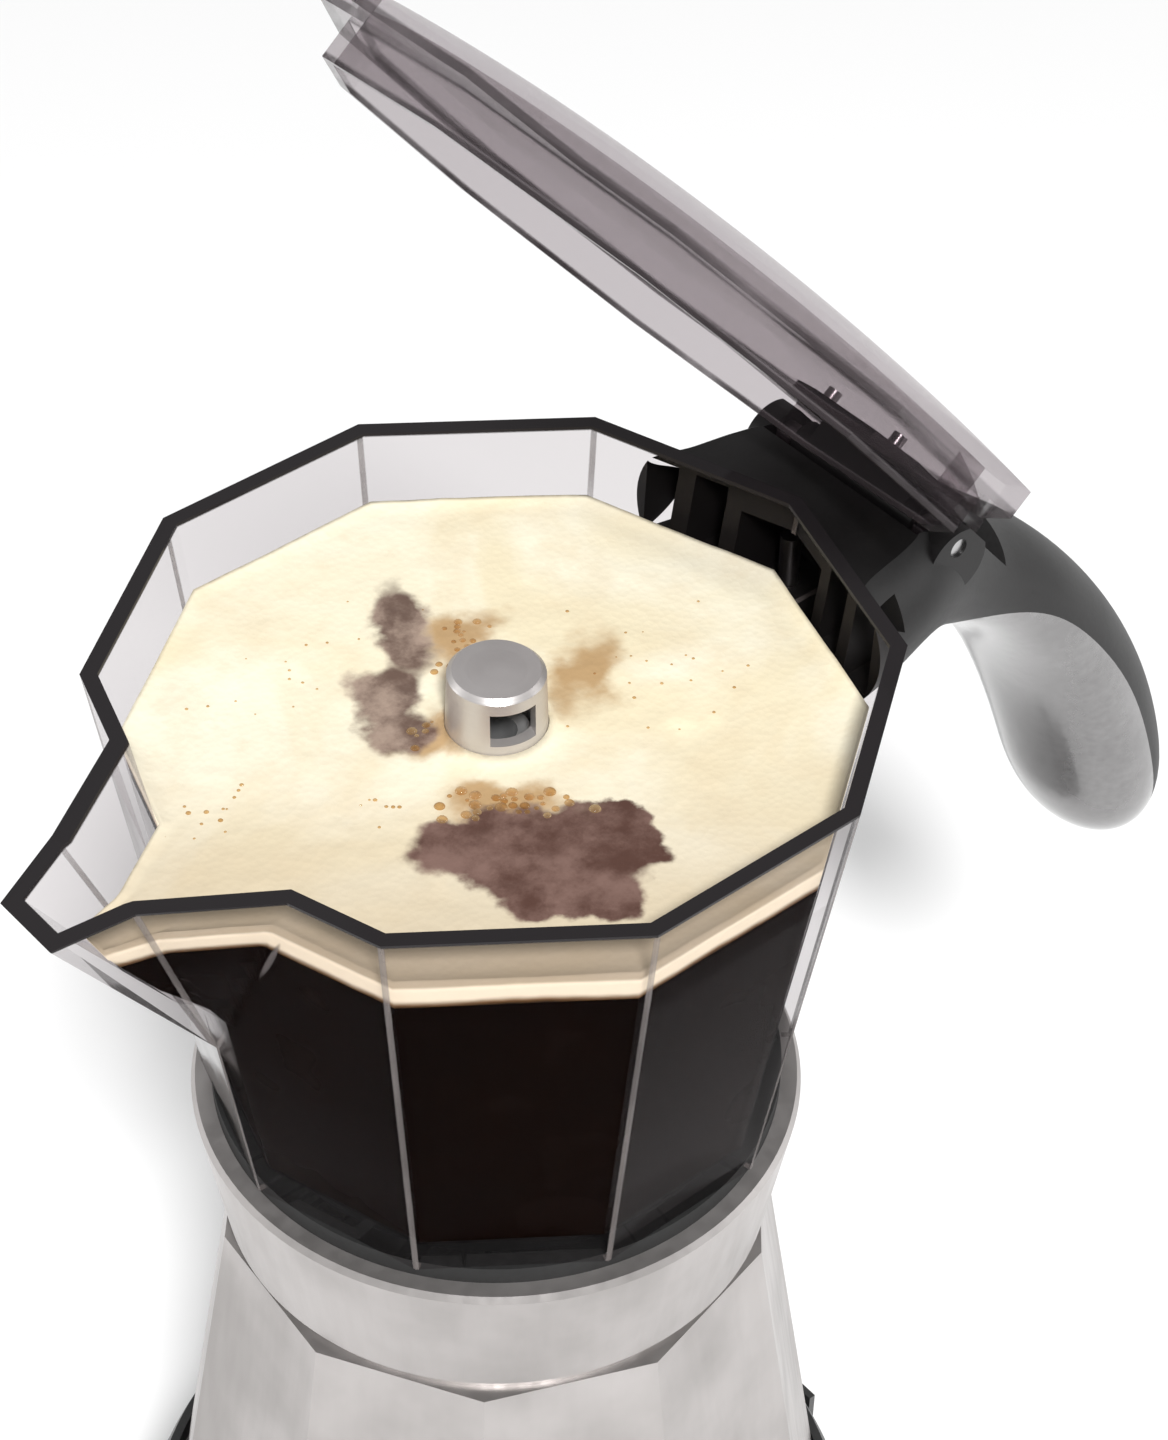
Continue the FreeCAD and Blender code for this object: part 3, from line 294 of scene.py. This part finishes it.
def corner_highlight_mask(look, half_width):
    """1 along the decagon's outer corners, where highlight lines are painted, except where the spout takes
    the place of one.
    """
    x, y, z = look.parts()
    radius = look.radius(x, y)
    angle = look.math("ARCTAN2", y, x)
    step = 2 * math.pi / SIDES
    fold = look.math("PINGPONG", angle, step / 2)
    away = look.math("MULTIPLY", radius, look.math("SINE", fold))
    line = look.ramp(away, LINE_CORE * half_width, half_width, 1.0, 0.0)
    # The outer surface only: its corners lean in towards the carafe's foot
    height = look.math("SUBTRACT", z, RIM_Z)
    outside = look.math("MULTIPLY_ADD", height, CORNER_LEAN, RIM_CORNER_R - OUTER_SKIN)
    line = look.math("MULTIPLY", line, look.math("GREATER_THAN", radius, outside))
    beside_spout = look.math("LESS_THAN", look.math("ABSOLUTE", angle), math.pi - 0.6 * step)
    below_spout = look.math("LESS_THAN", z, SPOUT_KEEL.z)
    return look.math("MULTIPLY", line, look.math("MAXIMUM", beside_spout, below_spout))


def smoked_base(look, tint, haze, edge_share, solid, solid_colour, rough, scratch, coffee_behind=None):
    """Tinted clear plastic: what is behind it shows through, darker where it is seen at a slant.

    coffee_behind is 1 where dark coffee lies behind the wall: there coffee brown is painted onto the wall
    where it is seen at a slant, a painted stand-in for the coffee seen through it."""
    clear = look.add("ShaderNodeBsdfTransparent")
    clear.inputs["Color"].default_value = tint
    facing = look.add("ShaderNodeLayerWeight")
    facing.inputs["Blend"].default_value = 0.5
    slant = look.math("POWER", facing.outputs["Facing"], 6.0)
    share = look.math("ADD", look.math("MULTIPLY", slant, edge_share), haze)
    share = look.math("MAXIMUM", share, solid, clamp=True)
    # Painted view of the coffee: coffee brown mixed into the wall where it is seen at a slant
    if coffee_behind is not None:
        shown = look.math("MULTIPLY", coffee_behind, look.ramp(facing.outputs["Facing"], 0.55, 0.85, 0.0, 0.95))
        solid_colour = look.blend(shown, solid_colour, COFFEE_BROWN)
        share = look.math("MAXIMUM", share, shown)
    body = look.surface(
        Base_Color=solid_colour, Roughness=rough, Normal=look.bump(scratch, 0.006 * MM),
        IOR=1.2)
    return look.mix(share, clear.outputs[0], body)


def carafe_look():
    look = Look("smoked_clear_carafe")
    x, y, z = look.parts()
    mirrored = look.add("ShaderNodeCombineXYZ")
    look.feed(mirrored.inputs["X"], x)
    look.feed(mirrored.inputs["Y"], look.math("ABSOLUTE", y))
    look.feed(mirrored.inputs["Z"], z)
    side = mirrored.outputs[0]
    # Painted highlight lines: on the outer corners and along the spout's folds
    lines = corner_highlight_mask(look, EDGE_HIGHLIGHT)
    for start, end in ((SPOUT_ROOT, SPOUT_KEEL), (SPOUT_BEND, SPOUT_KEEL)):
        lines = look.math("MAXIMUM", lines, line_mask(look, start, end, EDGE_HIGHLIGHT, side))
    # The rim's dark top follows the rim down to the spout's tip
    drop = look.ramp(x, SPOUT_TIP.x, SPOUT_BEND.x, SPOUT_TIP.z, RIM_Z, smooth=False)
    rim = look.ramp(look.math("SUBTRACT", drop, z), RIM_BAND, 2 * RIM_BAND, 1.0, 0.0)
    patches = look.noise(70.0, 4.0)
    highlight_seen = look.math("MULTIPLY", lines, look.ramp(patches, 0.2, 0.7, 0.4, 0.7))
    solid = look.math("MAXIMUM", rim, highlight_seen)
    # The painted highlight lines are pale grey over the wall's dark haze
    colour = look.blend(lines, rgb(0.03, 0.027, 0.028), rgb(0.17, 0.15, 0.145))
    colour = look.blend(rim, colour, rgb(0.02, 0.018, 0.019))
    scratch = look.noise(500.0, 2.0, (1, 1, 0.15))
    rough = look.ramp(patches, 0.3, 0.7, 0.06, 0.16)
    # Below the crema, where coffee lies behind the wall: the wall gets its painted view of the coffee there
    coffee_behind = look.math("MULTIPLY", look.ramp(z, CREMA_FOOT - 0.8 * MM, CREMA_FOOT, 1.0, 0.0),
                    look.math("GREATER_THAN", z, FLOOR_Z))
    return look.done(smoked_base(
        look, rgb(0.88, 0.865, 0.868), 0.006, 0.4, solid, colour, rough, scratch, coffee_behind))


def lid_look():
    look = Look("smoked_clear_lid")
    # Places on the lid as it is when closed
    back = look.add("ShaderNodeVectorRotate", rotation_type="Y_AXIS")
    look.feed(back.inputs["Vector"], look.place)
    back.inputs["Center"].default_value = tuple(HINGE)
    back.inputs["Angle"].default_value = -LID_OPEN
    height = look.math("SUBTRACT", look.parts(back.outputs[0])["Z"], RIM_Z)
    # Dark contour lines: the flange's outer side and the foot of the lip
    from_middle = look.math("ABSOLUTE", look.math("SUBTRACT", height, FLANGE_MIDDLE))
    flange = look.ramp(from_middle, 0.4 * MM, 0.9 * MM, 1.0, 0.0)
    foot = look.ramp(height, LIP_FOOT, LIP_FOOT + 0.5 * MM, 1.0, 0.0)
    edge = look.math("MAXIMUM", flange, foot)
    patches = look.noise(45.0, 4.0, warp=0.6)
    shade = look.math("MULTIPLY", edge, look.ramp(patches, 0.3, 0.7, 0.35, 0.85))
    colour = look.blend(edge, rgb(0.26, 0.235, 0.245), rgb(0.04, 0.034, 0.036))
    scratch = look.noise(400.0, 2.0, (1, 0.2, 1))
    rough = look.ramp(patches, 0.3, 0.7, 0.05, 0.14)
    return look.done(smoked_base(look, rgb(0.76, 0.735, 0.745), 0.02, 0.28, shade, colour, rough, scratch))


def spot(look, place, centre, size, turn):
    """0 at a spot's centre and 1 at its edge."""
    node = look.add("ShaderNodeMapping", vector_type="TEXTURE")
    look.feed(node.inputs["Vector"], place)
    node.inputs["Location"].default_value = (centre[0] * MM, centre[1] * MM, 0.0)
    node.inputs["Rotation"].default_value = (0.0, 0.0, math.radians(turn))
    node.inputs["Scale"].default_value = (size[0] * MM, size[1] * MM, 1.0)
    flat = look.vector("MULTIPLY", node.outputs[0], (1, 1, 0))
    return look.vector("LENGTH", flat, output="Value")


def patch(look, place, spots):
    """0 at the centres of a patch's spots and 1 at its edge."""
    nearest, *others = [spot(look, place, *item) for item in spots]
    for other in others:
        nearest = look.math("SMOOTH_MIN", nearest, other, SPOT_BLEND)
    return nearest


def crema_look():
    look = Look("coffee_crema")
    x, y, z = look.parts()
    # Places warped by noise give the patches their torn outlines
    wobble = look.add("ShaderNodeTexNoise")
    look.feed(wobble.inputs["Vector"], look.place)
    wobble.inputs["Scale"].default_value = 140.0
    wobble.inputs["Detail"].default_value = 6.0
    centred = look.vector("SUBTRACT", wobble.outputs["Color"], (0.5, 0.5, 0.5))
    shift = look.vector("MULTIPLY", centred, (13.0 * MM, 13.0 * MM, 0))
    place = look.vector("ADD", look.place, shift)
    front = patch(look, place, FRONT_PATCH)
    back = patch(look, place, BACK_PATCH)
    tan = patch(look, place, TAN_PATCH)
    broad = look.noise(28.0, 5.0, warp=0.8)
    mottle = look.noise(110.0, 6.0, rough=0.65)
    foam = look.cells(900.0)
    cream = look.blend(look.ramp(broad, 0.36, 0.64), rgb(0.77, 0.685, 0.485), rgb(0.86, 0.815, 0.66))
    cream = look.blend(look.ramp(mottle, 0.42, 0.72, 0.0, 0.35), cream, rgb(0.68, 0.56, 0.375))
    # Darker, browner foam at the front and towards the spout
    back_along = look.math("MULTIPLY_ADD", x, BACK_WAY[0], look.math("MULTIPLY", y, BACK_WAY[1]))
    cream = look.blend(look.ramp(back_along, -42.0 * MM, 6.0 * MM, 0.8, 0.0), cream, rgb(0.52, 0.43, 0.30))
    cream = look.blend(look.ramp(tan, 0.4, 1.3, 0.9, 0.0), cream, rgb(0.42, 0.26, 0.115))
    brown = look.blend(look.ramp(mottle, 0.35, 0.65), rgb(0.085, 0.042, 0.032), rgb(0.19, 0.115, 0.095))
    hazy = look.blend(look.ramp(mottle, 0.35, 0.65), rgb(0.095, 0.05, 0.04), rgb(0.34, 0.25, 0.20))
    colour = look.blend(look.ramp(back, 0.62, 1.2, 0.95, 0.0), cream, hazy)
    colour = look.blend(look.ramp(front, 0.8, 1.02, 1.0, 0.0), colour, brown)
    # The band seen through the wall gets a painted light cream top, standing in for light scattered in the
    # foam under the rim's shade, and darkens down to the coffee
    depth = look.math("SUBTRACT", CREMA_TOP, z)
    colour = look.blend(look.ramp(depth, 0.3 * MM, 1.0 * MM, 0.0, 0.8), colour, rgb(0.97, 0.88, 0.69))
    wave = look.math("MULTIPLY", look.math("SUBTRACT", look.noise(90.0, 3.0), 0.5), 1.6 * MM)
    depth = look.math("ADD", depth, wave)
    colour = look.blend(look.ramp(depth, 3.0 * MM, 4.4 * MM), colour, rgb(0.30, 0.15, 0.045))
    colour = look.blend(look.ramp(depth, 3.9 * MM, 5.0 * MM), colour, COFFEE_BROWN)
    # Light scattered inside the foam brightens the band, which the rim would shade
    glow = look.math("MULTIPLY", look.ramp(depth, 0.3 * MM, 1.0 * MM, 0.0, 0.34),
                     look.ramp(depth, 2.8 * MM, 4.2 * MM, 1.0, 0.0))
    froth = look.math("ADD", look.math("MULTIPLY", foam, 0.5), mottle)
    rough = look.ramp(mottle, 0.3, 0.7, 0.5, 0.7)
    return look.done(look.surface(
        Base_Color=colour, Roughness=rough, Normal=look.bump(froth, 0.1 * MM), Specular_IOR_Level=0.18,
        Emission_Color=rgb(0.95, 0.82, 0.60), Emission_Strength=glow))


def coffee_look():
    look = Look("coffee_dark")
    broad = look.noise(35.0, 3.0)
    colour = look.blend(look.ramp(broad, 0.3, 0.7), rgb(0.0035, 0.0014, 0.0009), rgb(0.006, 0.0024, 0.0014))
    ripple = look.noise(160.0, 2.0)
    return look.done(look.surface(
        Base_Color=colour, Roughness=look.ramp(broad, 0.3, 0.7, 0.18, 0.3),
        Normal=look.bump(ripple, 0.02 * MM), IOR=1.05))


def bubble_look():
    look = Look("crema_bubble_film")
    clear = look.add("ShaderNodeBsdfTransparent")
    clear.inputs["Color"].default_value = rgb(0.88, 0.72, 0.50)
    facing = look.add("ShaderNodeLayerWeight")
    facing.inputs["Blend"].default_value = 0.35
    tone = look.noise(300.0, 2.0)
    colour = look.blend(look.ramp(tone, 0.35, 0.65), rgb(0.42, 0.24, 0.09), rgb(0.72, 0.52, 0.28))
    film = look.surface(
        Base_Color=colour, Roughness=look.ramp(tone, 0.3, 0.7, 0.04, 0.1),
        Normal=look.bump(tone, 0.01 * MM), Coat_Weight=1.0)
    share = look.math("ADD", look.math("MULTIPLY", facing.outputs["Facing"], 0.85), 0.15, clamp=True)
    return look.done(look.mix(share, clear.outputs[0], film))


def aluminium_look(name="cast_aluminium", dark=rgb(0.365, 0.345, 0.335), light=rgb(0.50, 0.475, 0.465),
                   rough=(0.36, 0.46)):
    """Satin aluminium with a fine blasted grain and faint upright polishing marks."""
    look = Look(name)
    grain = look.noise(1900.0, 2.0)
    marks = look.noise(420.0, 3.0, (1, 1, 0.06))
    patches = look.noise(38.0, 4.0)
    colour = look.blend(look.ramp(patches, 0.3, 0.7), dark, light)
    height = look.math("ADD", look.math("MULTIPLY", grain, 0.7), look.math("MULTIPLY", marks, 0.5))
    roughness = look.ramp(marks, 0.3, 0.7, rough[0], rough[1])
    return look.done(look.surface(
        Base_Color=colour, Roughness=roughness, Metallic=0.85, Normal=look.bump(height, 0.012 * MM)))


def cavity_ring(walls, z, angles):
    """Points just inside the carafe's wall at one height, one for each angle."""
    points = []
    for angle in angles:
        way = Vector((math.cos(angle), math.sin(angle), 0.0))
        _, normal, _, reach = walls.ray_cast(way * COLUMN_FLANGE + Vector((0, 0, z)), way)
        slant = max(abs(normal.dot(way)), LEAST_SLANT)
        points.append(way * (COLUMN_FLANGE + reach - WALL_GAP / slant) + Vector((0, 0, z)))
    return points


def ring_angles():
    """Angles round the carafe: close together in the spout, with every corner of the decagon."""
    corners = [2 * math.pi * k / SIDES for k in range(SIDES)]
    even = [math.radians(a) for a in range(0, 360, RING_STEP)]
    spout = [math.pi + math.radians(k * SPOUT_STEP) for k in range(-SPOUT_STEPS, SPOUT_STEPS + 1)]
    return sorted({round(a % (2 * math.pi), 5) for a in corners + even + spout})


def add_piece(name, mesh, material, smooth=True):
    """A piece of the carafe's contents, which rides the carafe."""
    bmesh.ops.recalc_face_normals(mesh, faces=mesh.faces)
    data = bpy.data.meshes.new(name)
    mesh.to_mesh(data)
    mesh.free()
    for face in data.polygons:
        face.use_smooth = smooth
    data.materials.append(material)
    piece = bpy.data.objects.new(name, data)
    bpy.context.scene.collection.objects.link(piece)
    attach(piece, "carafe_body")


def bridge(mesh, rings):
    """Faces between closed rings of the same length, in order."""
    for lower, upper in zip(rings, rings[1:]):
        for k in range(len(lower)):
            n = (k + 1) % len(lower)
            mesh.faces.new((lower[k], lower[n], upper[n], upper[k]))


def circle_ring(mesh, angles, radius, z):
    return [mesh.verts.new((radius * math.cos(a), radius * math.sin(a), z)) for a in angles]


def add_coffee(walls, angles):
    """Coffee that fills the carafe from its floor to the crema, with a hole for the column."""
    mesh = bmesh.new()
    top, low = CREMA_FOOT, FLOOR_Z
    rings = [circle_ring(mesh, angles, COLUMN_FLANGE, low)]
    for row in range(COFFEE_ROWS + 1):
        z = low + (top - low) * row / COFFEE_ROWS
        rings.append([mesh.verts.new(p) for p in cavity_ring(walls, z, angles)])
    rings.append(circle_ring(mesh, angles, COLUMN_CLEAR, top))
    rings.append(circle_ring(mesh, angles, COLUMN_CLEAR, FLANGE_TOP))
    rings.append(circle_ring(mesh, angles, COLUMN_FLANGE, FLANGE_TOP))
    bridge(mesh, rings + rings[:1])
    add_piece("coffee_fill", mesh, coffee_look(), smooth=False)


def crema_height(x, y, wall):
    """Height of the foam's top: low swells and pits, and a climb where it meets the wall or the cap.

    wall is 0 at the edge and 1 away from it."""
    swell = noise.fractal(Vector((x, y, 0.3)) * SWELL_SCALE, 1.0, 2.0, 4)
    pits = noise.noise(Vector((x, y, 1.7)) * PIT_SCALE)
    climb = CLIMB_HEIGHT * (1 - wall) ** 2
    return CREMA_TOP + SWELL_HEIGHT * swell + PIT_HEIGHT * pits + climb


def add_crema(walls, angles):
    """Foam on the coffee: a closed ring round the column's cap, with a swelling top."""
    mesh = bmesh.new()
    outer = cavity_ring(walls, CREMA_TOP, angles)
    rings = []
    for row in range(CREMA_ROWS + 1):
        share = (row / CREMA_ROWS) ** ROW_CROWDING
        ring = []
        for angle, edge in zip(angles, outer):
            reach = Vector((edge.x, edge.y)).length
            radius = CAP_CLEAR + (reach - CAP_CLEAR) * share
            x, y = radius * math.cos(angle), radius * math.sin(angle)
            near = min(reach - radius, radius - CAP_CLEAR)
            z = crema_height(x, y, min(1.0, near / CLIMB_WIDTH))
            ring.append(mesh.verts.new((x, y, z)))
        rings.append(ring)
    for depth in BAND_STEPS:
        z = CREMA_TOP - CREMA_DEPTH * depth
        rings.append([mesh.verts.new(p) for p in cavity_ring(walls, z, angles)])
    rings.append(circle_ring(mesh, angles, CAP_CLEAR, CREMA_FOOT))
    bridge(mesh, rings + rings[:1])
    add_piece("crema_layer", mesh, crema_look())


def add_bubbles():
    """Bubbles on the foam: clusters in front of the cap and behind it, and a few strays."""
    dice = random.Random(7)
    mesh = bmesh.new()
    placed = []
    for cx, cy, long_half, short_half, turn, count, small, large in BUBBLE_CLUSTERS:
        c, s = math.cos(math.radians(turn)), math.sin(math.radians(turn))
        for _ in range(count):
            u = dice.gauss(0.0, BUBBLE_SPREAD) * long_half
            v = dice.gauss(0.0, BUBBLE_SPREAD) * short_half
            radius = dice.uniform(small, large) * MM
            x, y = (cx + u * c - v * s) * MM, (cy + u * s + v * c) * MM
            crowded = any(math.hypot(x - a, y - b) < BUBBLE_CROWDING * (radius + r) for a, b, r in placed)
            if crowded or math.hypot(x, y) < CAP_CLEAR + radius:
                continue
            placed.append((x, y, radius))
            z = crema_height(x, y, 1.0) - BUBBLE_SINK * radius
            scale = Matrix.Diagonal((radius, radius, BUBBLE_FLATTEN * radius, 1.0))
            shape = Matrix.Translation((x, y, z)) @ scale
            bmesh.ops.create_icosphere(mesh, subdivisions=2, radius=1.0, matrix=shape)
    add_piece("crema_bubbles", mesh, bubble_look())


def dress_frame():
    """Gives every CAD node its material."""
    black = plain_look("moulded_black", grey(0.013), grey(0.022), (0.40, 0.52), grain=1400.0, depth=0.03 * MM)
    handle = plain_look("handle_satin_black", rgb(0.0085, 0.008, 0.008), rgb(0.016, 0.0155, 0.0155),
                        (0.38, 0.48), grain=1600.0, depth=0.008 * MM, specular=0.22)
    cover = plain_look("handle_gloss_grey", rgb(0.16, 0.155, 0.155), rgb(0.24, 0.235, 0.235),
                       (0.16, 0.24), metal=0.55, grain=700.0, depth=0.006 * MM, coat=0.6, coat_rough=0.06)
    rubber = plain_look("black_rubber", grey(0.014), grey(0.026), (0.6, 0.75), grain=1100.0,
                        specular=0.3)
    steel = turned_look("stainless_steel", rgb(0.48, 0.455, 0.445), rgb(0.59, 0.565, 0.555),
                        (0.30, 0.42), metal=0.65)
    screws = plain_look("screw_steel", grey(0.42), grey(0.55), (0.25, 0.35), metal=1.0, grain=2500.0)
    aluminium = aluminium_look()
    dull = aluminium_look("plain_aluminium", grey(0.45), grey(0.58), (0.42, 0.55))
    brass = plain_look("turned_brass", rgb(0.52, 0.36, 0.13), rgb(0.66, 0.48, 0.20), (0.22, 0.34), metal=1.0,
                       grain=2200.0, depth=0.01 * MM)
    by_node = {
        "base_feet": rubber, "power_base_shell": black, "power_base_cover": black, "base_screws": screws,
        "base_connector": black, "base_contact_rings": brass, "cord_gland": rubber,
        "base_terminal_block": plain_look("terminal_ceramic", grey(0.45), grey(0.58), (0.4, 0.6)),
        "pot_socket": black, "heater_housing": black, "housing_bottom_cover": black,
        "housing_screws": screws, "heater_plate": dull, "heating_element": steel,
        "thermostat": screws, "thermal_fuse": screws,
        "switch_bezel": plain_look("switch_frame", grey(0.018), grey(0.028), (0.3, 0.4), coat=0.3),
        "switch_rocker": plain_look("rocker_red", rgb(0.28, 0.012, 0.01), rgb(0.38, 0.02, 0.015), (0.2, 0.3),
                                    grain=900.0, depth=0.01 * MM, coat=0.5),
        "indicator_lens": plain_look("lamp_lens", rgb(0.55, 0.10, 0.02), rgb(0.72, 0.2, 0.05), (0.1, 0.2),
                                     grain=700.0, depth=0.01 * MM, coat=1.0),
        "boiler": aluminium, "collar": aluminium, "funnel": dull, "column": dull, "filter_plate": steel,
        "safety_valve_body": brass, "valve_stem": brass, "valve_spring": screws, "valve_washer": rubber,
        "gasket": plain_look("white_silicone", grey(0.62), grey(0.74), (0.45, 0.6), grain=800.0),
        "carafe_seal": rubber, "column_washer": rubber, "column_cap": steel,
        "carafe": carafe_look(), "lid": lid_look(), "lid_hinge_lever": handle, "lid_screws": screws,
        "lid_hinge_pin": screws, "handle_shell": handle, "handle_inner_cover": cover, "handle_screws": screws,
    }
    for name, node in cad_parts.items():
        material = by_node[name]
        for slot in node.material_slots:
            slot.material = material
        if not node.material_slots:
            node.data.materials.append(material)


def add_contents():
    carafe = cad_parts["carafe"].data
    points = [vertex.co for vertex in carafe.vertices]
    walls = BVHTree.FromPolygons(points, [face.vertices for face in carafe.polygons])
    angles = ring_angles()
    add_coffee(walls, angles)
    add_crema(walls, angles)
    add_bubbles()


def add_floor():
    mesh = bmesh.new()
    bmesh.ops.create_grid(mesh, x_segments=FLOOR_CUTS, y_segments=FLOOR_CUTS, size=FLOOR_HALF)
    data = bpy.data.meshes.new("studio_floor")
    mesh.to_mesh(data)
    mesh.free()
    floor = bpy.data.objects.new("studio_floor", data)
    bpy.context.scene.collection.objects.link(floor)
    look = Look("pale_floor")
    tone = look.noise(1.5, 2.0)
    colour = look.blend(tone, grey(0.86), grey(0.90))
    paper = look.surface(Base_Color=colour, Roughness=0.9, Specular_IOR_Level=0.1)
    data.materials.append(look.done(paper))


def add_light(name, place, size, power):
    data = bpy.data.lights.new(name, "AREA")
    data.shape = "DISK"
    data.size = size
    data.energy = power
    light = bpy.data.objects.new(name, data)
    light.location = place
    light.rotation_euler = (Vector(LIGHT_AIM) - Vector(place)).to_track_quat("-Z", "Y").to_euler()
    bpy.context.scene.collection.objects.link(light)


def add_lights():
    for name, place, size, power in LIGHTS:
        add_light(name, place, size, power)
    world = bpy.data.worlds.new("studio_world")
    world.use_nodes = True
    background = world.node_tree.nodes["Background"]
    background.inputs["Color"].default_value = grey(1.0)
    background.inputs["Strength"].default_value = WORLD_STRENGTH
    bpy.context.scene.world = world


def add_camera():
    data = bpy.data.cameras.new("photo_camera")
    data.lens = CAMERA_LENS
    data.sensor_width = SENSOR
    camera = bpy.data.objects.new("photo_camera", data)
    rim = Vector((0, 0, RIM_Z))
    aim = (CAMERA_AIM - CAMERA_AT).to_track_quat("-Z", "Y")
    camera.rotation_mode = "QUATERNION"
    camera.rotation_quaternion = aim @ Quaternion((0, 0, 1), CAMERA_ROLL)
    camera.location = rim + CAMERA_AT
    bpy.context.scene.collection.objects.link(camera)
    bpy.context.scene.camera = camera


dress_frame()
add_contents()
add_floor()
add_lights()
add_camera()
bpy.context.scene.view_settings.view_transform = "Standard"
